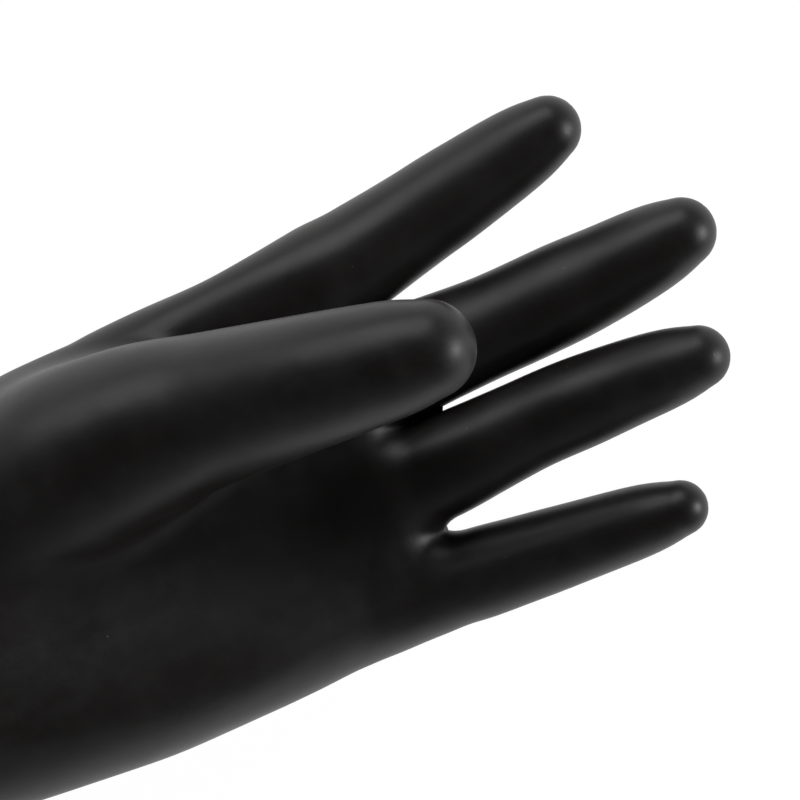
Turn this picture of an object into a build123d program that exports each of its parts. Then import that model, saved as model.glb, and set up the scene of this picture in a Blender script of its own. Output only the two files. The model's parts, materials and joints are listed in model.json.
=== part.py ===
from build123d import *

import os
from math import cos, radians, sin

# Electrical insulating glove for the left hand, a long-cuffed shell of dipped natural rubber.
#
# Row frame, millimetres: the origin is the centre of the cuff's round opening, +X runs towards
# the fingertips, +Y towards the thumb's side and +Z out of the palm.  The glove lies on its back,
# on a surface at TABLE_Z.  The rubber is one skin on the real glove; here it is divided at the
# places where it bends, and the rings of skin that bend are nodes of their own.

# ---------------------------------------------------------------- driving dimensions
WALL = 1.5  # thickness of the rubber
GLOVE_LENGTH = 360.0  # cuff edge to the tip of the middle finger

CUFF_BORE_R = 54.0  # inside of the round cuff
CUFF_R = CUFF_BORE_R + WALL
CUFF_STRAIGHT = 25.0  # length of the cylindrical stretch behind the cuff edge

BEAD_R = 3.0  # section radius of the rolled edge
BEAD_STAND = 2.2  # how far the roll's centre stands off the cuff's outer face
TABLE_Z = -(CUFF_R + BEAD_STAND + BEAD_R)  # the surface that the glove lies on

WRIST_FROM, WRIST_TO = 120.0, 150.0  # the ring of skin that bends at the wrist
PALM_END = 265.0  # where the palm closes between the fingers

# Outline of the hand and sleeve: station X, half width, half thickness, gap under it
SLEEVE_SECTIONS = [
    (CUFF_STRAIGHT, CUFF_R, CUFF_R, BEAD_STAND + BEAD_R),
    (70.0, 52.0, 44.5, 4.2),
    (WRIST_FROM, 47.5, 31.0, 2.6),
]
WRIST_SECTIONS = [
    (WRIST_FROM, 47.5, 31.0, 2.6),
    ((WRIST_FROM + WRIST_TO) / 2, 46.8, 29.0, 2.6),
    (WRIST_TO, 48.5, 28.5, 1.4),
]
PALM_SECTIONS = [
    (WRIST_TO, 48.5, 28.5, 1.4),
    (185.0, 52.0, 28.0, -0.8),
    (220.0, 52.5, 24.5, -1.0),
    (245.0, 52.0, 20.5, -0.6),
    (258.0, 50.5, 17.0, 2.2),
    (PALM_END, 46.0, 12.0, 7.0),
]

LABEL_SIZE = (34.0, 22.0)  # along the sleeve, round the sleeve
LABEL_X = 48.0
LABEL_PROUD = 0.8
LABEL_CORNER = 3.0

ROOT_TAPER = 0.22  # how fast a digit narrows behind its root, inside the palm
STATION_STEP = 11.0  # spacing of the sections that a digit is lofted through
HINGE_SHIFT = 0.35  # how far a hinge lies towards the palm side, as a share of the radius
DOME = 1.15  # length of a fingertip's dome over its radius


class Digit:
    """A finger or the thumb: three straight stretches, each steeper than the last."""

    def __init__(self, name, root, splay, pitches, lengths, radii, base_fold, mid_fold, buried,
                 bends_to=None):
        self.name = name
        self.root = Vector(*root)
        self.splay = splay
        self.pitches = pitches
        self.lengths = lengths
        self.radii = radii
        self.base_fold = base_fold
        self.mid_fold = mid_fold
        self.buried = buried
        self.bends_to = bends_to

    def way(self, stretch):
        """Direction of a stretch, a unit vector."""
        p, s = radians(self.pitches[stretch]), radians(self.splay)
        return Vector(cos(p) * cos(s), cos(p) * sin(s), sin(p))

    def stretch_at(self, s):
        first, second, _ = self.lengths
        return 0 if s < first else 1 if s < first + second else 2

    def point(self, s):
        """Centre of the digit at a distance s from its root."""
        first, second, _ = self.lengths
        p = self.root + self.way(0) * min(s, first)
        if s > first:
            p += self.way(1) * min(s - first, second)
        if s > first + second:
            p += self.way(2) * (s - first - second)
        return p

    def heading(self, s, blur=4.0):
        """Direction of the centre line at s, turned evenly through each knuckle."""
        return (self.point(s + blur) - self.point(s - blur)).normalized()

    def radius(self, s):
        """Radius at s, in proportion between root, knuckles and dome."""
        first, second, third = self.lengths
        marks = [0.0, first, first + second, first + second + third - DOME * self.radii[3]]
        if s <= 0:
            return self.radii[0] + ROOT_TAPER * s
        for (a, b), (ra, rb) in zip(zip(marks, marks[1:]), zip(self.radii, self.radii[1:])):
            if s <= b:
                return ra + (rb - ra) * (s - a) / (b - a)
        return self.radii[3]

    def plane(self, s):
        """Section plane at s: its X is level, across the digit."""
        d = self.heading(s)
        across = Vector(0, 0, 1).cross(d).normalized()
        return Plane(origin=self.point(s), x_dir=across, z_dir=d)

    def palmar(self, s):
        """Unit vector across the digit, towards the side it bends to."""
        d = self.heading(s)
        towards = Vector(*self.bends_to) if self.bends_to else Vector(0, 0, 1)
        return (towards - d * towards.dot(d)).normalized()

    def hinge(self, fold):
        """Pin position and axis for a fold; turning about the axis bends the digit."""
        s = (fold[0] + fold[1]) / 2
        side = self.palmar(s)
        pin = self.point(s) + side * (HINGE_SHIFT * self.radius(s))
        return pin, self.heading(s).cross(side)

    def dome_start(self):
        return sum(self.lengths) - DOME * self.radii[3]


# Root and lengths in mm, angles in degrees; folds are distances from the root
DIGITS = [
    Digit("index", (264, 40, -39.5), 9.0, (6, 12, 18), (34, 23, 21), (12.9, 12.4, 11.6, 10.4),
          (3, 17), (27, 41), 24),
    Digit("middle", (266, 13.2, -39), 0.8, (8, 15, 22), (38, 28, 28), (12.9, 12.7, 11.8, 10.4),
          (3, 17), (31, 45), 24),
    Digit("ring", (266, -12.8, -38), -2.0, (12, 20, 28), (36, 26, 25), (12.6, 11.9, 10.6, 9.0),
          (3, 17), (29, 43), 24),
    Digit("little", (263, -41, -39.5), -4.5, (12, 20, 28), (28, 20, 20), (11.3, 10.2, 9.4, 8.0),
          (6, 17), (23, 35), 22),
    Digit("thumb", (226, 22.5, -12), -9.0, (29, 23, 12), (38, 18, 18), (19.0, 15.0, 13.2, 11.5),
          (16, 30), (37, 50), 30, bends_to=(0, -0.5, -0.8)),
]


# ---------------------------------------------------------------- sections and lofts
def oval(x, half_width, half_thick, gap, inset=0.0):
    """Elliptical outline across the hand at X = x, standing gap above the table."""
    centre = Vector(x, 0, TABLE_Z + gap + half_thick)
    plane = Plane(origin=centre, x_dir=(0, 1, 0), z_dir=(1, 0, 0))
    return plane * Ellipse(half_width - inset, half_thick - inset).face()


def hull(sections, inset=0.0):
    return loft([oval(*row, inset=inset) for row in sections])


def digit_solid(digit, start, inset=0.0):
    """The digit as a full solid from station start to its tip, inset by a wall or not at all."""
    end = digit.dome_start()
    steps = round((end - start) / STATION_STEP)
    stations = [start + (end - start) * i / steps for i in range(steps + 1)]
    rings = [digit.plane(s) * Circle(digit.radius(s) - inset).face() for s in stations]
    body = loft(rings)
    r = digit.radii[3] - inset
    reach = DOME * digit.radii[3] - inset
    quarter = Ellipse(r, reach) & Pos(r / 2, reach / 2) * Rectangle(r, reach)
    dome = revolve(Plane.XZ * quarter, Axis.Z)
    return body + digit.plane(end) * dome


def far_side(plane, reach=140.0):
    """A block that fills the space ahead of a plane."""
    return plane * Pos(0, 0, reach / 2) * Box(reach, reach, reach)


def near_side(plane, reach=140.0):
    return plane * Pos(0, 0, -reach / 2) * Box(reach, reach, reach)


# ---------------------------------------------------------------- the nodes
def sleeve_volume(inset=0.0):
    """Round cuff and tapering sleeve, as one full solid."""
    cuff = Cylinder(CUFF_R - inset, CUFF_STRAIGHT, align=(Align.CENTER, Align.CENTER, Align.MIN))
    return Plane.YZ * cuff + hull(SLEEVE_SECTIONS, inset)


def palm_volume(inset=0.0):
    """Palm and the stub of every digit, as one full solid, pressed flat where it lies."""
    body = hull([(x - inset if x == PALM_END else x, *row) for x, *row in PALM_SECTIONS], inset)
    for digit in DIGITS:
        cut = digit.plane(digit.base_fold[0])
        body += digit_solid(digit, -digit.buried, inset) & near_side(cut)
    reach = 2 * GLOVE_LENGTH
    return body & Pos(0, 0, TABLE_Z + inset + reach / 2) * Box(reach, reach, reach)


def digit_nodes(digit):
    """The four nodes of a digit: the fold at its root, its lower stall, its middle fold, its tip."""
    skin = digit_solid(digit, 0) - digit_solid(digit, 0, WALL)
    (a, b), (c, d) = digit.base_fold, digit.mid_fold
    ahead = {s: skin & far_side(digit.plane(s)) for s in (a, b, c, d)}
    return {
        f"{digit.name}_base_fold": ahead[a] & near_side(digit.plane(b)),
        f"{digit.name}_stall": ahead[b] & near_side(digit.plane(c)),
        f"{digit.name}_mid_fold": ahead[c] & near_side(digit.plane(d)),
        f"{digit.name}_tip": ahead[d],
    }


def cuff_bead():
    """The rolled edge: a round ring seated on the outside of the cuff."""
    roll = Pos(BEAD_R, CUFF_R + BEAD_STAND) * Circle(BEAD_R)
    seat = Pos(BEAD_R, CUFF_R / 2) * Rectangle(3 * BEAD_R, CUFF_R)
    return revolve(roll - seat, Axis.X)


def rating_label():
    """A blank patch bonded to the palm side of the sleeve near the cuff."""
    length, width = LABEL_SIZE
    block = Box(length, width, 2 * CUFF_R, align=(Align.CENTER, Align.CENTER, Align.MIN))
    block = fillet(block.edges().filter_by(Axis.Z), LABEL_CORNER)
    raised = hull(SLEEVE_SECTIONS, -LABEL_PROUD) - hull(SLEEVE_SECTIONS)
    return raised & (Pos(LABEL_X, 0, 0) * block)


def main():
    nodes = {
        "cuff_bead": cuff_bead(),
        "gauntlet": sleeve_volume() - sleeve_volume(WALL),
        "rating_label": rating_label(),
        "wrist_fold": hull(WRIST_SECTIONS) - hull(WRIST_SECTIONS, WALL),
        "palm": palm_volume() - palm_volume(WALL),
    }
    for digit in DIGITS:
        nodes.update(digit_nodes(digit))
    os.makedirs("parts", exist_ok=True)
    for name, shape in nodes.items():
        export_step(shape, f"parts/{name}.step")
        print(name, len(shape.solids()), "solid,", round(shape.volume), "mm3")
    for digit in DIGITS:
        for fold in (digit.base_fold, digit.mid_fold):
            pin, axis = digit.hinge(fold)
            print(digit.name, "hinge at", pin, "about", axis)


if __name__ == "__main__":
    main()
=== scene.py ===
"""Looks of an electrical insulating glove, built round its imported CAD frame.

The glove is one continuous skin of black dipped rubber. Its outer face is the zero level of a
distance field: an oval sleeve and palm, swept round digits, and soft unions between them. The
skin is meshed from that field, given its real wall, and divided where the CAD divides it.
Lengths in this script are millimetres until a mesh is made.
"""

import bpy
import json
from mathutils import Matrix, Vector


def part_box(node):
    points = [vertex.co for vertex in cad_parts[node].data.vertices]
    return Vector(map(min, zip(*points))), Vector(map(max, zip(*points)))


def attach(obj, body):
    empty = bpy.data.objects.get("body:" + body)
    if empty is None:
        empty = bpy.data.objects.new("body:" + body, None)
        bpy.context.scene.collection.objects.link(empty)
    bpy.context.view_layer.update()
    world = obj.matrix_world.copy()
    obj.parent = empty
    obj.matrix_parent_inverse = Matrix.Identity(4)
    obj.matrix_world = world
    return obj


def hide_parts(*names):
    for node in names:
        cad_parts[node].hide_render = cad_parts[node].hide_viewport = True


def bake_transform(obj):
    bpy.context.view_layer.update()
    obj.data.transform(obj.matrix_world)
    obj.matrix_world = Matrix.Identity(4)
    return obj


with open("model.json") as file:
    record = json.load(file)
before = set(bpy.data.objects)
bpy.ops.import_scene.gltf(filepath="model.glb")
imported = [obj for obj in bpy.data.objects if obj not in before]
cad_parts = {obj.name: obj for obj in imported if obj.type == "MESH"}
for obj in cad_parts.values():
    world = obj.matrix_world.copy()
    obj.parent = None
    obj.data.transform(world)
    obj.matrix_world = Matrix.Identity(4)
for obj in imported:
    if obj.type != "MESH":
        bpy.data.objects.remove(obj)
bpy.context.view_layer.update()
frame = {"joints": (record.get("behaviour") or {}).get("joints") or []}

import json
from math import cos, radians, sin

import bmesh
import bpy
import numpy as np
from mathutils import Matrix, Vector

MM = 0.001
CELL = 1.25  # spacing of the lattice that the skin is meshed on
WALL = 1.5

# ---------------------------------------------------------------- the glove's driving dimensions
TABLE_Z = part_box("cuff_bead")[0].z / MM
CUFF_R = 55.5
CUFF_STRAIGHT = 25.0
CUFF_TRIM = 0.8  # where the skin ends inside its rounded lip
LABEL_PROUD = 0.8

# Station X, half width, half thickness, gap under it
HAND_SECTIONS = [
    (0.0, CUFF_R, CUFF_R, 5.2),
    (CUFF_STRAIGHT, CUFF_R, CUFF_R, 5.2),
    (70.0, 52.0, 44.5, 4.2),
    (120.0, 47.5, 31.0, 2.6),
    (135.0, 46.8, 29.0, 2.6),
    (150.0, 48.5, 27.0, 1.4),
    (185.0, 52.0, 25.0, -0.8),
    (220.0, 52.0, 21.5, -1.0),
    (243.0, 50.8, 18.3, -0.6),
    (255.0, 50.0, 17.3, 0.2),
    (266.0, 49.5, 15.5, 1.8),
    (280.0, 47.0, 12.0, 4.0),
]
SECTION_BLUR = 5.0  # how softly one station passes into the next
PALM_END = 266.0
PALM_END_ROUND = 9.0

# Balls that the palm's mounds and hollows are swept through: X, Y, Z and radius.  The thumb's
# mound is the buried end of the thumb itself; the palm's hollow and the thumb's web are cut out.
THUMB_MOUND = [(130, 14, -38, 18), (160, 19.5, -31, 23), (190, 24.0, -23.5, 24.2), (212, 24.5, -16.5, 21.2)]
HEEL_MOUND = [(150, -23, -36, 20), (185, -28.5, -35, 18.5), (222, -33, -38, 14.5), (246, -36, -41, 10.5)]
HOLLOW = [(160, -2, 47, 53), (185, -3, 40, 54), (212, -5, 33, 55), (238, -6, 30, 54)]
KNUCKLE_RIDGE = [(206, 42.5, -42, 8), (228, 44, -36.5, 8), (250, 44.5, -35.5, 8.5), (266, 43.5, -36, 9)]
THUMB_WEB = [(208, 38, -10, 8), (230, 37, -19, 11), (250, 34, -23, 12), (262, 31, -23, 10)]
MOUND_BLUR = 6.0  # how softly one ball passes into the next

# How large the fillets are where one shape joins or cuts another
MOUND_UNION = 12.0
HOLLOW_UNION = 14.0
RIDGE_UNION = 5.0
FINGER_UNION = 8.0
THUMB_UNION = 6.0
TABLE_UNION = 1.5
WEB_UNION = ((256, 270), (8.0, 1.0))  # between neighbouring fingers: X, and the fillet there

# How a finger narrows to its tip: distance from the tip, share of its full radius
TAPER = [(7.5, 0.63), (11, 0.765), (16, 0.84), (21, 0.885), (31, 0.945), (41, 1.0), (90, 1.02)]
# How it widens into the palm and sinks there: distance from the root, share
ROOT = [(-26, 0.78), (-12, 0.98), (0, 1.08), (9, 1.11), (20, 1.05), (32, 1.0)]
BURIED = 22.0  # how far a finger runs on behind its root
SPARE = 6.0  # how far a sweep's rows run on past both of its ends

# A digit's centre line: its spacing, how far it is drawn past both ends, and its smoothing
LINE_STEP = 0.5
LINE_BEHIND, LINE_AHEAD = 130.0, 10.0
HEADING_BLUR = 5.0
RADIUS_BLUR = 3.0
BEHIND_BLUR = 6.0


class Digit:
    """A finger or the thumb as a round sweep along three straight stretches, softly joined.

    A finger has one radius, which TAPER and ROOT narrow and widen; the thumb has radii at its root,
    its two knuckles and its tip, and balls behind its root.
    """

    def __init__(self, name, root, splays, pitches, lengths, radius=None, radii=None, behind=()):
        self.name = name
        self.length = sum(lengths)
        line = np.arange(-LINE_BEHIND, self.length + LINE_AHEAD, LINE_STEP)
        ways = np.array([
            (cos(radians(p)) * cos(radians(s)), cos(radians(p)) * sin(radians(s)), sin(radians(p)))
            for s, p in zip(splays, pitches)
        ])
        stretch = np.searchsorted(np.cumsum(lengths)[:2], line)
        heading = blurred(ways[stretch], HEADING_BLUR / LINE_STEP)
        heading /= np.linalg.norm(heading, axis=1)[:, None]
        points = np.cumsum(heading * LINE_STEP, axis=0)
        points += np.array(root, float) - points[np.argmin(abs(line))]
        if radii is None:
            across = radius * np.interp(self.length - line, *np.array(TAPER).T)
            across *= np.interp(line, *np.array(ROOT).T)
            tip = self.length - TAPER[0][1] * radius
        else:
            at = [0.0, lengths[0], lengths[0] + lengths[1], self.length - radii[3]]
            across = np.interp(line, at, radii)
            tip = self.length - radii[3]
        buried = BURIED
        if behind:
            rows = np.array([*behind, (*root, across[np.argmin(abs(line))])], float)
            steps = np.linalg.norm(np.diff(rows[:, :3], axis=0), axis=1)
            place = np.concatenate([-np.cumsum(steps[::-1])[::-1], [0.0]])
            back = line < 0
            for axis in range(3):
                points[back, axis] = np.interp(line[back], place, rows[:, axis])
            across[back] = np.interp(line[back], place, rows[:, 3])
            points = blurred(points, BEHIND_BLUR / LINE_STEP)
            buried = -place[0]
        self.line = line
        self.points = points
        self.heading = heading
        self.radii = blurred(across[:, None], RADIUS_BLUR / LINE_STEP)[:, 0]
        self.start = -buried
        self.tip = tip

    def at(self, s):
        """Centre, heading and radius at the distance s from the root."""
        i = np.argmin(abs(self.line - s))
        return self.points[i], self.heading[i], self.radii[i]

    def nearest(self, point):
        """Distance along the digit of the place nearest to a point."""
        return self.line[np.argmin(np.linalg.norm(self.points - point, axis=1))]

    def sweep(self, until):
        """Rows of place, X, Y, Z and radius along the digit."""
        keep = (self.line >= self.start - SPARE) & (self.line <= min(self.tip, until) + SPARE)
        return np.column_stack([self.line, self.points, self.radii])[keep]


def blurred(values, sigma):
    """Values along a line, smoothed by a bell curve; the ends are held."""
    reach = int(4 * sigma)
    bell = np.exp(-0.5 * (np.arange(-reach, reach + 1) / sigma) ** 2)
    bell /= bell.sum()
    padded = np.pad(values, ((reach, reach), (0, 0)), mode="edge")
    return np.stack([np.convolve(column, bell, mode="valid") for column in padded.T], axis=1)


FINGERS = [
    Digit("index", (264, 40.4, -39.5), (9.6, 9.6, 9.2), (6, 12, 18), (34, 23, 21.2), 12.3),
    Digit("middle", (266, 14.0, -39), (-1.5, 1.2, 3.8), (8, 15, 22), (38, 28, 29.6), 12.7),
    Digit("ring", (266, -14.5, -38), (2.6, -1.2, -3.6), (12, 20, 28), (36, 26, 25.7), 11.5),
    Digit("little", (263, -41.4, -39.5), (-5.6, -4.4, -4.0), (12, 20, 28), (28, 21, 21.6), 10.4),
]
THUMB = Digit("thumb", (226, 22.5, -12), (-9, -9, -9), (29, 23, 12), (38, 18, 18),
              radii=(19, 15.5, 13.6, 11.5), behind=THUMB_MOUND)
DIGITS = FINGERS + [THUMB]

# ---------------------------------------------------------------- the distance field
FAR = 20.0  # distances past this are not worked out
COARSE_STEP = 5.0  # spacing of the places that a sweep is first tried at
FINE_STEPS = (2.5, 0.8)  # how far round the best of them it is then tried, twice
LONGEST_MOVE = 1.5  # the most that one such try may move the place, in steps
SECTION_X = np.arange(-20.0, 320.0, 1.0)


def section(column):
    """One measure of HAND_SECTIONS at every place of SECTION_X."""
    stations = np.array(HAND_SECTIONS)
    measure = np.interp(SECTION_X, stations[:, 0], stations[:, column])
    return blurred(measure[:, None], SECTION_BLUR)[:, 0]


SECTION_WIDTH, SECTION_THICK, SECTION_GAP = section(1), section(2), section(3)


def smooth_min(a, b, k):
    """The lower of two fields, with a fillet of size k where they meet."""
    h = np.clip(0.5 + 0.5 * (b - a) / k, 0, 1)
    return b + (a - b) * h - k * h * (1 - h)


def rounded(a, b):
    """Distance to the corner between two faces, measured round it outside."""
    return np.minimum(np.maximum(a, b), 0) + np.hypot(np.maximum(a, 0), np.maximum(b, 0))


def swept(points, sweep):
    """Distance to a round body swept along a line; its rows are place, X, Y, Z and radius."""
    along, centres, radii = sweep[:, 0], sweep[:, 1:4], sweep[:, 4]
    first, last = along[0] + SPARE, along[-1] - SPARE
    out = np.full(len(points), FAR)
    low = (centres - radii[:, None]).min(0) - FAR
    high = (centres + radii[:, None]).max(0) + FAR
    near = ((points > low) & (points < high)).all(axis=1)
    some = points[near]

    def ball(s):
        x, y, z, r = (np.interp(s, along, column) for column in sweep[:, 1:].T)
        return np.sqrt((some[:, 0] - x) ** 2 + (some[:, 1] - y) ** 2 + (some[:, 2] - z) ** 2) - r

    best = np.full(len(some), np.inf)
    place = np.full(len(some), first)
    for s in np.linspace(first, last, int((last - first) / COARSE_STEP) + 2):
        away = ball(np.full(1, s))
        closer = away < best
        best[closer], place[closer] = away[closer], s
    for step in FINE_STEPS:
        before, here, after = ball(place - step), ball(place), ball(place + step)
        bend = np.maximum(before + after - 2 * here, 1e-6)
        move = np.clip(0.5 * (before - after) / bend, -LONGEST_MOVE, LONGEST_MOVE)
        place = np.clip(place + move * step, first, last)
    out[near] = ball(place)
    return out


def hull(points):
    """Sleeve, wrist and palm: an oval that changes along X, rounded off at the fingers."""
    x, y, z = points.T
    width = np.interp(x, SECTION_X, SECTION_WIDTH)
    thick = np.interp(x, SECTION_X, SECTION_THICK)
    gap = np.interp(x, SECTION_X, SECTION_GAP)
    v = z - (TABLE_Z + gap + thick)
    k0 = np.sqrt((y / width) ** 2 + (v / thick) ** 2) + 1e-9
    k1 = np.sqrt((y / width**2) ** 2 + (v / thick**2) ** 2) + 1e-9
    side = k0 * (k0 - 1) / k1
    return rounded(side + PALM_END_ROUND, x - PALM_END + PALM_END_ROUND) - PALM_END_ROUND


def mound(rows):
    """A sweep through a few balls, softly joined."""
    rows = np.array(rows, float)
    steps = np.linalg.norm(np.diff(rows[:, :3], axis=0), axis=1)
    place = np.concatenate([[0], np.cumsum(steps)])
    along = np.arange(-SPARE, place[-1] + SPARE, 1.0)
    balls = np.stack([np.interp(along, place, column) for column in rows.T], axis=1)
    return np.column_stack([along, blurred(balls, MOUND_BLUR)])


HEEL_SWEEP = mound(HEEL_MOUND)
HOLLOW_SWEEP = mound(HOLLOW)
RIDGE_SWEEP = mound(KNUCKLE_RIDGE)
WEB_SWEEP = mound(THUMB_WEB)


def pressed(field, points):
    """The skin lies flat where it would go under the table."""
    return -smooth_min(-field, points[:, 2] - TABLE_Z, TABLE_UNION)


def hand_field(points):
    """Sleeve and palm: the heel's mound, the palm's hollow, the thumb's web and the index ridge."""
    field = smooth_min(hull(points), swept(points, HEEL_SWEEP), MOUND_UNION)
    field = -smooth_min(-field, swept(points, HOLLOW_SWEEP), HOLLOW_UNION)
    field = -smooth_min(-field, swept(points, WEB_SWEEP), RIDGE_UNION)
    return smooth_min(field, swept(points, RIDGE_SWEEP), RIDGE_UNION)


def glove_field(points, ends):
    """The whole skin, with each digit swept as far as ends says."""
    digits = {digit.name: swept(points, digit.sweep(ends[digit.name])) for digit in DIGITS}
    fingers = digits["index"]
    web = np.interp(points[:, 0], *WEB_UNION)
    for digit in FINGERS[1:]:
        fingers = smooth_min(fingers, digits[digit.name], web)
    hand = smooth_min(hand_field(points), digits["thumb"], THUMB_UNION)
    return pressed(smooth_min(hand, fingers, FINGER_UNION), points)


def skin_field(whole=None):
    """The field of the skin with every digit a stub, or with one of them whole."""
    ends = STUBS | ({whole.name: whole.tip} if whole else {})

    def field(points):
        return glove_field(points, ends)

    return field


# ---------------------------------------------------------------- meshing the field
BLOCK = 400000  # how many points are worked out at once
MOVE_LIMIT = 0.6  # the furthest that settling moves a vertex in one round


def lattice(low, high, cell):
    """Whole steps of the lattice that cover a box."""
    return np.floor(np.array(low) / cell).astype(int), np.ceil(np.array(high) / cell).astype(int)


def in_blocks(field, points):
    """The field at many points, a block at a time to spare memory."""
    return np.concatenate([field(points[i:i + BLOCK]) for i in range(0, len(points), BLOCK)])


def gradient(field, points, step=0.05):
    """Unit outward direction of the field."""
    out = np.stack([
        in_blocks(field, points + step * axis) - in_blocks(field, points - step * axis)
        for axis in np.eye(3)
    ], axis=1)
    return out / (np.linalg.norm(out, axis=1)[:, None] + 1e-12)


def surface(field, low, high, cell=CELL):
    """Quads on the zero level of a field inside a box: one vertex per lattice cell it crosses."""
    lo, hi = lattice(low, high, cell)
    shape = hi - lo + 1
    steps = np.stack(np.meshgrid(*[np.arange(a, b + 1) for a, b in zip(lo, hi)], indexing="ij"), -1)
    values = in_blocks(field, steps.reshape(-1, 3) * cell).reshape(shape)
    inside = values < 0
    corners = [(i, j, k) for i in (0, 1) for j in (0, 1) for k in (0, 1)]
    cells = tuple(shape - 1)

    def at_corner(array, corner):
        i, j, k = corner
        return array[i:i + cells[0], j:j + cells[1], k:k + cells[2]]

    count = sum(at_corner(inside, corner).astype(int) for corner in corners)
    crossed = (count > 0) & (count < 8)
    number = np.full(cells, -1)
    number[crossed] = np.arange(crossed.sum())
    total, weight = np.zeros((crossed.sum(), 3)), np.zeros(crossed.sum())
    for corner in corners:
        for axis in range(3):
            if corner[axis]:
                continue
            other = list(corner)
            other[axis] = 1
            here, there = at_corner(values, corner)[crossed], at_corner(values, other)[crossed]
            cut = (here < 0) != (there < 0)
            spot = np.tile(np.array(corner, float), (cut.sum(), 1))
            spot[:, axis] = here[cut] / (here[cut] - there[cut])
            total[cut] += spot
            weight[cut] += 1
    vertices = (np.argwhere(crossed) + lo + total / weight[:, None]) * cell
    quads = []
    for axis in range(3):
        u, v = (axis + 1) % 3, (axis + 2) % 3
        first = [slice(1, -1)] * 3
        first[axis] = slice(0, -1)
        second = list(first)
        second[axis] = slice(1, None)
        a, b = inside[tuple(first)], inside[tuple(second)]
        at = np.argwhere(a != b)
        flip = a[tuple(at.T)]
        at[:, u] += 1
        at[:, v] += 1
        quad = []
        for du, dv in ((-1, -1), (0, -1), (0, 0), (-1, 0)):
            cell_at = at.copy()
            cell_at[:, u] += du
            cell_at[:, v] += dv
            quad.append(number[tuple(cell_at.T)])
        quad = np.stack(quad, axis=1)
        quad[~flip] = quad[~flip][:, ::-1]
        quads.append(quad)
    faces = np.concatenate(quads)
    return vertices, faces[(faces >= 0).all(axis=1)]


def settled(field, vertices, rounds=3):
    """Vertices moved onto the zero level."""
    for _ in range(rounds):
        away = in_blocks(field, vertices)
        move = np.clip(away, -MOVE_LIMIT, MOVE_LIMIT)
        vertices = vertices - move[:, None] * gradient(field, vertices)
    return vertices


def bisect(mesh, point, normal, near=None):
    """Cuts a bmesh by a plane, through all its faces or those that near() accepts."""
    faces = [f for f in mesh.faces if near is None or near(f.calc_center_median())]
    verts = list({v for f in faces for v in f.verts})
    edges = list({e for f in faces for e in f.edges})
    bmesh.ops.bisect_plane(
        mesh, geom=verts + edges + faces, plane_co=point, plane_no=normal, dist=1e-4
    )


def drop_faces(mesh, faces):
    """Deletes faces from a bmesh, and the vertices that only they held."""
    bmesh.ops.delete(mesh, geom=faces, context="FACES")
    bmesh.ops.delete(mesh, geom=[v for v in mesh.verts if not v.link_faces], context="VERTS")


def ahead_of(mesh, point, normal):
    """Whether each face of a bmesh lies ahead of a plane."""
    centres = np.array([f.calc_center_median() for f in mesh.faces])
    return (centres - point) @ normal > 0


def piece(name, vertices, faces, normals):
    """An object whose mesh remembers its place at rest, for its material to hold on to."""
    data = bpy.data.meshes.new(name)
    data.from_pydata(vertices * MM, [], faces)
    data.validate()
    rest = data.attributes.new("rest_place", "FLOAT_VECTOR", "POINT")
    rest.data.foreach_set("vector", (vertices * MM).astype(np.float32).ravel())
    data.polygons.foreach_set("use_smooth", [True] * len(data.polygons))
    data.normals_split_custom_set_from_vertices(normals.tolist())
    obj = bpy.data.objects.new(name, data)
    bpy.context.scene.collection.objects.link(obj)
    return obj


def shell(name, mesh, field):
    """An object with the bmesh as its outer face, an inner face one wall inside it, and rims."""
    mesh.verts.index_update()
    outer = np.array([v.co for v in mesh.verts])
    normals = gradient(field, outer)
    faces = [[v.index for v in f.verts] for f in mesh.faces]
    rims = []
    for e in mesh.edges:
        if e.is_boundary:
            loop = e.link_loops[0]
            rims.append((loop.vert.index, loop.link_loop_next.vert.index))
    n = len(outer)
    vertices = np.concatenate([outer, outer - normals * WALL])
    all_faces = faces + [[i + n for i in reversed(f)] for f in faces]
    all_faces += [[b, a, a + n, b + n] for a, b in rims]
    return piece(name, vertices, all_faces, np.concatenate([normals, -normals]))


def to_bmesh(vertices, faces):
    """A bmesh of vertices and of faces given by their numbers."""
    mesh = bmesh.new()
    verts = [mesh.verts.new(v) for v in vertices]
    for f in faces:
        mesh.faces.new([verts[i] for i in f])
    return mesh


# ---------------------------------------------------------------- where the skin is divided
JOINTS = {j["name"]: j for j in frame["joints"]}


def pin(joint):
    """Where a joint's hinge is."""
    return np.array(JOINTS[joint]["pos_m"]) / MM


HAND_BOX = ((-4, -62, TABLE_Z - 3), (302, 62, 62))  # holds the hand and the digits' stubs
DIGIT_MARGIN = 22.0  # room round a digit's centre line for its skin
FOLD = 14.0  # length of digit that takes part in a bend
BASE_CUT, THUMB_BASE_CUT, MID_CUT = -5.0, 0.0, -7.0  # where the folds start, from their hinges
STUB = 9.0  # how far a digit's stub runs on past its base cut

# Which faces of the hand a base cut goes through: along the digit, and from its centre line
CUT_REACH = 9.0
CUT_WIDTH = (1.5, 2.0)  # radii, and millimetres on top
CUFF_REACH = 4.0

# Which part of its own mesh a digit keeps before it is cut
OWN_WIDTH = (1.6, 2.0)  # radii, and millimetres on top
OWN_BEHIND = 6.0  # how far it goes on behind the base cut
OWN_OVERLAP = 1.0  # how far it goes on past the border with its neighbours


def cuts(digit):
    """Where the two folds of a digit start."""
    base_joint, shift = f"{digit.name}_base_bend", BASE_CUT
    if digit is THUMB:
        base_joint, shift = "thumb_base_open", THUMB_BASE_CUT
    mid_joint = f"{digit.name}_mid_straighten"
    return digit.nearest(pin(base_joint)) + shift, digit.nearest(pin(mid_joint)) + MID_CUT


CUTS = {digit.name: cuts(digit) for digit in DIGITS}
STUBS = {name: base + STUB for name, (base, mid) in CUTS.items()}


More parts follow.
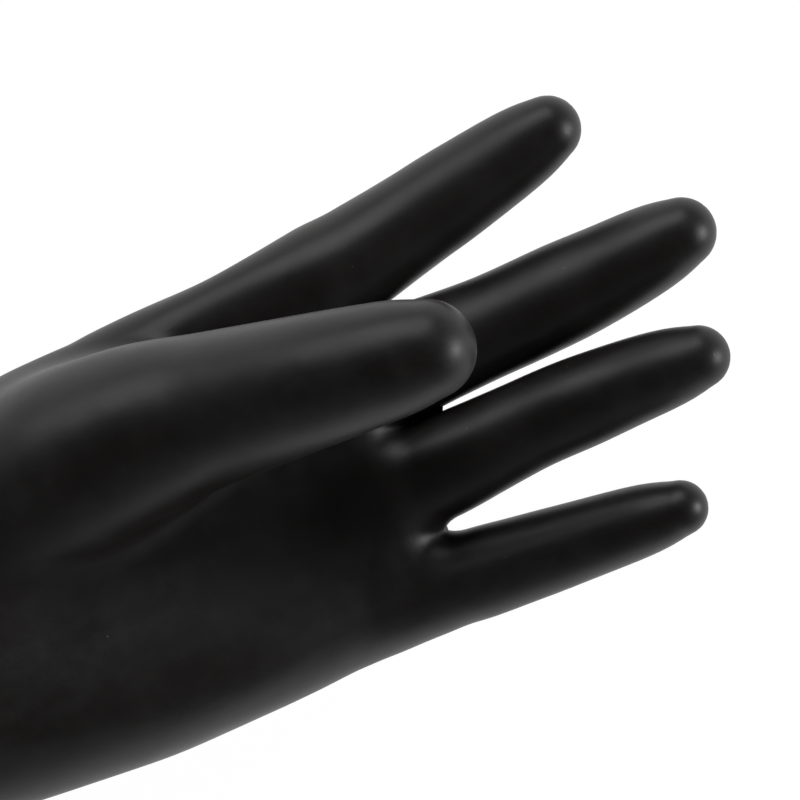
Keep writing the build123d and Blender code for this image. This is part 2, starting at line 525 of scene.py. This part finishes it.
def beside(digit, s):
    """A test of whether a point is close to a digit's section at s."""
    centre, heading, radius = digit.at(s)
    width = CUT_WIDTH[0] * radius + CUT_WIDTH[1]

    def near(point):
        away = np.array(point) - centre
        along = away @ heading
        return abs(along) < CUT_REACH and np.linalg.norm(away - along * heading) < width

    return near


def in_cuff(point):
    """Whether a point is close to the cuff's edge."""
    return point.x < CUFF_REACH


def fold_plane(digit, s):
    """Section plane square to the chord of the fold that starts at s."""
    a, b = digit.at(s)[0], digit.at(s + FOLD)[0]
    return a, (b - a) / np.linalg.norm(b - a)


def nearest_digit(points):
    """Index of the digit whose stub is closest to each point; -1 away from all of them."""
    away = np.stack([swept(points, digit.sweep(STUBS[digit.name])) for digit in DIGITS])
    return np.where(away.min(0) < FAR, away.argmin(0), -1)


def hand_skin():
    """Sleeve, wrist and palm in one piece, open at the cuff and at each digit."""
    field = skin_field()
    vertices, faces = surface(field, *HAND_BOX)
    mesh = to_bmesh(settled(field, vertices), faces)
    bisect(mesh, (CUFF_TRIM, 0, 0), (1, 0, 0), in_cuff)
    drop_faces(mesh, [f for f in mesh.faces if f.calc_center_median().x < CUFF_TRIM])
    planes = [fold_plane(digit, CUTS[digit.name][0]) for digit in DIGITS]
    for digit, plane in zip(DIGITS, planes):
        bisect(mesh, *plane, beside(digit, CUTS[digit.name][0]))
    owner = nearest_digit(np.array([f.calc_center_median() for f in mesh.faces]))
    spent = np.any([(owner == i) & ahead_of(mesh, *plane) for i, plane in enumerate(planes)], axis=0)
    drop_faces(mesh, [f for f, gone in zip(mesh.faces, spent) if gone])
    obj = shell("glove_hand_skin", mesh, field)
    mesh.free()
    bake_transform(obj)
    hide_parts("gauntlet", "wrist_fold", "palm")
    return obj


def own_vertices(digit, vertices):
    """Whether each vertex belongs to a digit, a little past its base cut and its neighbours' borders."""
    base = CUTS[digit.name][0]
    point, normal = fold_plane(digit, base)
    ahead = (vertices - point) @ normal > -OWN_BEHIND
    line = digit.points[(digit.line > base - OWN_BEHIND - 2) & (digit.line < digit.tip)]
    away = np.min([np.linalg.norm(vertices - place, axis=1) for place in line[::4]], axis=0)
    close = away < OWN_WIDTH[0] * digit.at(0)[2] + OWN_WIDTH[1]
    others = [swept(vertices, d.sweep(STUBS[d.name])) for d in DIGITS if d is not digit]
    nearest = swept(vertices, digit.sweep(digit.tip)) < np.min(others, axis=0) + OWN_OVERLAP
    return ahead & close & nearest


def digit_skins(digit):
    """The two pieces of a digit's skin, divided where its two folds start."""
    field = skin_field(digit)
    base, mid = CUTS[digit.name]
    centre = digit.points[(digit.line > 0) & (digit.line < digit.tip)]
    low, high = centre.min(0) - DIGIT_MARGIN, centre.max(0) + DIGIT_MARGIN
    low[2] = max(low[2], HAND_BOX[0][2])
    vertices, faces = surface(field, low, high)
    vertices = settled(field, vertices)
    own = own_vertices(digit, vertices)[faces].all(axis=1)
    lower = to_bmesh(vertices, faces[own])
    base_plane, mid_plane = fold_plane(digit, base), fold_plane(digit, mid)
    bisect(lower, *base_plane)
    bisect(lower, *mid_plane)
    drop_faces(lower, [f for f, stays in zip(lower.faces, ahead_of(lower, *base_plane)) if not stays])
    upper = lower.copy()
    drop_faces(lower, [f for f, past in zip(lower.faces, ahead_of(lower, *mid_plane)) if past])
    drop_faces(upper, [f for f, past in zip(upper.faces, ahead_of(upper, *mid_plane)) if not past])
    pieces = []
    for tag, mesh, bodies, at, nodes in (
        ("lower", lower, ("hand", f"{digit.name}_lower"), base, ("base_fold", "stall")),
        ("upper", upper, (f"{digit.name}_lower", f"{digit.name}_upper"), mid, ("mid_fold", "tip")),
    ):
        obj = shell(f"glove_{digit.name}_{tag}_skin", mesh, field)
        mesh.free()
        a, b = digit.at(at)[0], digit.at(at + FOLD)[0]
        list(bodies)
        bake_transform(obj)
        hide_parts(*[f"{digit.name}_{node}" for node in nodes])
        pieces.append(obj)
    return pieces


# ---------------------------------------------------------------- cuff and label
CUFF_TURNS = np.radians(np.arange(0, 360, 1.25))
ROLL_GAP = 0.25  # how far the roll stays inside its CAD solid
ROLL_SWELLS = [(0.10, 5, 1), (0.06, 13, 0), (0.04, 31, 2)]  # height, waves round the cuff, phase
ROLL_SEAM, ROLL_SEAM_WIDE, ROLL_SEAM_DEEP = radians(150), 0.2, 0.35  # where the roll meets itself
LIP_PROUD = 0.25  # how far the skin's rounded lip stands past half the wall
LABEL_CORNER = 3.0
LABEL_EDGE = 0.8  # fillet of its edge
LABEL_SUNK = 0.4  # how far its underside is inside the skin
LABEL_CELL = 0.55  # spacing of the lattice that it is meshed on


def cuff_ring(name, profile):
    """A closed ring about X; profile gives rows of X, radius, normal along X and normal outwards."""
    rows, normals = [], []
    for turn in CUFF_TURNS:
        for x, r, across, out in profile(turn):
            rows.append((x, r * cos(turn), r * sin(turn)))
            normals.append((across, out * cos(turn), out * sin(turn)))
    n, m = len(CUFF_TURNS), len(rows) // len(CUFF_TURNS)
    faces = [
        [i * m + j, (i + 1) % n * m + j, (i + 1) % n * m + (j + 1) % m, i * m + (j + 1) % m]
        for i in range(n) for j in range(m)
    ]
    obj = piece(name, np.array(rows), faces, np.array(normals))
    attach(obj, "sleeve")
    return obj


def cuff_bead():
    """The rolled edge: rubber rolled outwards on itself, with the soft unevenness of hand rolling."""
    start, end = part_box("cuff_bead")
    roll = (end.x - start.x) / MM / 2
    outside = end.y / MM
    around = np.radians(np.arange(0, 360, 10.0))

    def profile(turn):
        swell = sum(height * sin(waves * turn + phase) for height, waves, phase in ROLL_SWELLS)
        for angle in around:
            seam = ROLL_SEAM_DEEP * np.exp(-((angle - ROLL_SEAM) / ROLL_SEAM_WIDE) ** 2)
            size = roll - ROLL_GAP + swell - seam
            yield roll + size * sin(angle), outside - roll + size * cos(angle), sin(angle), cos(angle)

    obj = cuff_ring("glove_cuff_bead", profile)
    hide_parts("cuff_bead")
    return obj


def cuff_lip():
    """The rounded edge of the skin inside the roll."""
    around = np.radians(np.arange(0, 360, 20.0))
    size = WALL / 2 + LIP_PROUD

    def profile(turn):
        for angle in around:
            yield size + size * sin(angle), CUFF_R - WALL / 2 + size * cos(angle), sin(angle), cos(angle)

    return cuff_ring("glove_cuff_lip", profile)


def label_field(points):
    """A thin patch on the sleeve, rounded at its corners and softened at its edge."""
    low, high = (np.array(corner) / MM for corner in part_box("rating_label"))
    x, y, z = points.T
    along = np.abs(x - (low[0] + high[0]) / 2) - (high[0] - low[0]) / 2 + LABEL_CORNER
    across = np.abs(y) - high[1] + LABEL_CORNER
    outline = rounded(along, across) - LABEL_CORNER
    skin = hull(points)
    top = -smooth_min(-(skin - LABEL_PROUD), -outline, LABEL_EDGE)
    return np.maximum(np.maximum(top, -(skin + LABEL_SUNK)), TABLE_Z + CUFF_R - z)


def rating_label():
    """The blank patch on the palm side of the sleeve."""
    low, high = (np.array(corner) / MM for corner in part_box("rating_label"))
    vertices, faces = surface(label_field, low - 2, high + 2, LABEL_CELL)
    vertices = settled(label_field, vertices)
    obj = piece("glove_rating_label", vertices, faces.tolist(), gradient(label_field, vertices, 0.2))
    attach(obj, "sleeve")
    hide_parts("rating_label")
    return obj


# ---------------------------------------------------------------- materials
class Nodes:
    """A material under construction; its patterns hold on to each piece's place at rest."""

    def __init__(self, name):
        self.material = bpy.data.materials.new(name)
        self.material.use_nodes = True
        self.tree = self.material.node_tree
        self.shader = self.tree.nodes["Principled BSDF"]
        self.place = self.new("ShaderNodeAttribute", attribute_name="rest_place").outputs["Vector"]

    def feed(self, socket, value):
        """Links an output to a socket, or sets the socket to a constant."""
        if isinstance(value, bpy.types.NodeSocket):
            self.tree.links.new(value, socket)
        else:
            socket.default_value = value

    def new(self, kind, inputs=(), **settings):
        """A node with its settings and inputs."""
        node = self.tree.nodes.new(kind)
        for key, value in settings.items():
            setattr(node, key, value)
        for key, value in dict(inputs).items():
            self.feed(node.inputs[key], value)
        return node

    def noise(self, size, detail=3.0, roughness=0.5, stretch=(1, 1, 1)):
        """Soft noise between 0 and 1, in blobs about size mm across."""
        place = self.new("ShaderNodeMapping", {"Vector": self.place, "Scale": stretch}).outputs[0]
        settings = {"Vector": place, "Scale": 1 / (size * MM), "Detail": detail, "Roughness": roughness}
        return self.new("ShaderNodeTexNoise", settings).outputs["Fac"]

    def between(self, value, low, high, to_low=0.0, to_high=1.0):
        """value taken from low..high to to_low..to_high, and held there outside."""
        keys = {"Value": value, "From Min": low, "From Max": high, "To Min": to_low, "To Max": to_high}
        return self.new("ShaderNodeMapRange", keys).outputs[0]

    def math(self, operation, a, b):
        """Two values put together."""
        return self.new("ShaderNodeMath", {0: a, 1: b}, operation=operation).outputs[0]

    def mix(self, share, a, b):
        """Colour a, with a share of colour b over it."""
        node = self.new("ShaderNodeMix", data_type="RGBA")
        for key, value in {"Factor": share, "A": a, "B": b}.items():
            self.feed([i for i in node.inputs if i.name == key and i.enabled][0], value)
        return [o for o in node.outputs if o.enabled][0]

    def specks(self, spacing, size, share):
        """Scattered round specks: 1 inside, 0 outside; only a share of the cells has one."""
        keys = {"Vector": self.place, "Scale": 1 / (spacing * MM), "Randomness": 1.0}
        cells = self.new("ShaderNodeTexVoronoi", keys)
        here = self.between(cells.outputs["Distance"], size / spacing, 0.6 * size / spacing)
        chance = self.new("ShaderNodeSeparateColor", {0: cells.outputs["Color"]}).outputs[0]
        return self.math("MULTIPLY", here, self.math("LESS_THAN", chance, share))

    def bump(self, height, depth, below=None):
        """A bump depth mm high, over another bump or straight on the surface."""
        keys = {"Height": height, "Strength": 1.0, "Distance": depth * MM}
        if below:
            keys["Normal"] = below
        return self.new("ShaderNodeBump", keys).outputs[0]

    def finish(self, colour, roughness, normal, specular):
        """The material, with its shader's inputs filled."""
        for key, value in (
            ("Base Color", colour), ("Roughness", roughness), ("Normal", normal),
            ("Specular IOR Level", specular),
        ):
            self.feed(self.shader.inputs[key], value)
        return self.material


def black_rubber():
    """Satin black rubber off a dipping mould: cloudy bloom, faint runs along it, a little lint."""
    n = Nodes("black_rubber")
    cloud = n.noise(34, 5, 0.62)
    runs = n.noise(16, 4, 0.6, stretch=(0.22, 1, 1))
    handled = n.noise(7, 4, 0.65)
    grain = n.noise(0.7, 2, 0.5)
    colour = n.mix(n.between(cloud, 0.36, 0.68), (0.0085, 0.0070, 0.0062, 1), (0.0160, 0.0138, 0.0128, 1))
    bloom = n.between(n.math("MULTIPLY", runs, handled), 0.24, 0.42, 0.0, 0.30)
    colour = n.mix(bloom, colour, (0.030, 0.028, 0.027, 1))
    lint = n.specks(9.0, 0.3, 1.0)
    colour = n.mix(n.math("MULTIPLY", lint, 0.6), colour, (0.11, 0.105, 0.10, 1))
    satin = n.between(n.math("ADD", cloud, runs), 0.7, 1.35, 0.36, 0.48)
    roughness = n.math("ADD", satin, n.between(n.math("ADD", handled, grain), 0.6, 1.4, -0.03, 0.04))
    waves = n.bump(n.noise(21, 2, 0.4), 0.55)
    peel = n.bump(handled, 0.05, waves)
    normal = n.bump(n.math("ADD", grain, n.math("MULTIPLY", lint, 0.8)), 0.012, peel)
    return n.finish(colour, roughness, normal, 0.38)


def label_rubber():
    """Pale matt patch, rubbed grey in soft blotches and faintly soiled."""
    n = Nodes("label_rubber")
    cloud = n.noise(9, 5, 0.6)
    grain = n.noise(0.5, 2, 0.5)
    colour = n.mix(n.between(cloud, 0.35, 0.7), (0.60, 0.585, 0.53, 1), (0.72, 0.705, 0.65, 1))
    colour = n.mix(n.between(n.noise(2.2, 4, 0.7), 0.56, 0.75, 0.0, 0.35), colour, (0.42, 0.405, 0.37, 1))
    colour = n.mix(n.specks(2.6, 0.16, 0.4), colour, (0.16, 0.15, 0.14, 1))
    roughness = n.between(cloud, 0.3, 0.7, 0.62, 0.78)
    normal = n.bump(grain, 0.02, n.bump(cloud, 0.12))
    return n.finish(colour, roughness, normal, 0.4)


# ---------------------------------------------------------------- stage, camera and light
FLOOR_SIZE = 8.0  # metres, as are the lights' sizes and places
CAMERA_PLACE = (271.3, 5.5, 665.0)
CAMERA_LENS = 126.0
CAMERA_ROLL = 24.0  # how far the picture's right is turned from +X, in degrees


def picture_axes():
    """The picture's right and up, in the table's plane."""
    roll = radians(CAMERA_ROLL)
    return Vector((cos(roll), -sin(roll), 0)), Vector((sin(roll), cos(roll), 0))


def stage():
    """A plain white table that glows a little, as a lit sweep does, so that it stays pale."""
    bpy.ops.mesh.primitive_plane_add(size=FLOOR_SIZE, location=(0.2, 0, TABLE_Z * MM))
    floor = bpy.context.object
    floor.name = "floor"
    material = bpy.data.materials.new("floor_white")
    material.use_nodes = True
    shader = material.node_tree.nodes["Principled BSDF"]
    shader.inputs["Base Color"].default_value = (0.10, 0.10, 0.10, 1)
    shader.inputs["Roughness"].default_value = 0.9
    shader.inputs["Specular IOR Level"].default_value = 0.0
    shader.inputs["Emission Color"].default_value = (1, 1, 1, 1)
    shader.inputs["Emission Strength"].default_value = 0.97
    floor.data.materials.append(material)


def camera():
    """The camera looks straight down at the palm."""
    data = bpy.data.cameras.new("camera")
    obj = bpy.data.objects.new("camera", data)
    bpy.context.scene.collection.objects.link(obj)
    data.sensor_width = 36
    data.lens = CAMERA_LENS
    right, up = picture_axes()
    back = Vector((0, 0, 1))
    turn = Matrix((right, up, back)).transposed().to_4x4()
    obj.matrix_world = Matrix.Translation(Vector(CAMERA_PLACE) * MM) @ turn
    bpy.context.scene.camera = obj


def softbox(name, location, target, size, power):
    """A rectangular lamp turned to a target."""
    data = bpy.data.lights.new(name, "AREA")
    data.shape = "RECTANGLE"
    data.size, data.size_y = size
    data.energy = power
    data.color = (0.95, 0.97, 1.0)
    obj = bpy.data.objects.new(name, data)
    bpy.context.scene.collection.objects.link(obj)
    obj.location = location
    obj.rotation_euler = (target - location).to_track_quat("-Z", "Y").to_euler()


def studio_world():
    """A dark ceiling over pale walls: the light grows towards the horizon."""
    world = bpy.data.worlds.new("studio")
    bpy.context.scene.world = world
    world.use_nodes = True
    nodes, links = world.node_tree.nodes, world.node_tree.links
    place = nodes.new("ShaderNodeTexCoord")
    split = nodes.new("ShaderNodeSeparateXYZ")
    ramp = nodes.new("ShaderNodeValToRGB")
    links.new(place.outputs["Generated"], split.inputs[0])
    links.new(split.outputs["Z"], ramp.inputs[0])
    links.new(ramp.outputs[0], nodes["Background"].inputs["Color"])
    ramp.color_ramp.elements[0].position = 0.0
    ramp.color_ramp.elements[0].color = (0.55, 0.55, 0.56, 1)
    ramp.color_ramp.elements[1].position = 0.75
    ramp.color_ramp.elements[1].color = (0.07, 0.07, 0.072, 1)
    nodes["Background"].inputs["Strength"].default_value = 0.6


def lights():
    """A broad lamp up and left of the hand and a small one on its right, in a pale room."""
    studio_world()
    right, up = picture_axes()
    middle = Vector((0.25, 0, 0))
    softbox("top_left", middle + up * 1.1 - right * 0.45 + Vector((0, 0, 0.8)), middle, (1.5, 0.9), 12)
    softbox("right", middle + right * 1.3 + up * 0.05 + Vector((0, 0, 0.45)), middle, (0.5, 0.5), 10)


rubber, pale = black_rubber(), label_rubber()
skins = [hand_skin(), cuff_bead(), cuff_lip()]
for digit in DIGITS:
    skins += digit_skins(digit)
for skin in skins:
    skin.data.materials.append(rubber)
label = rating_label()
label.data.materials.append(pale)

stage()
camera()
lights()
bpy.context.scene.view_settings.view_transform = "Standard"
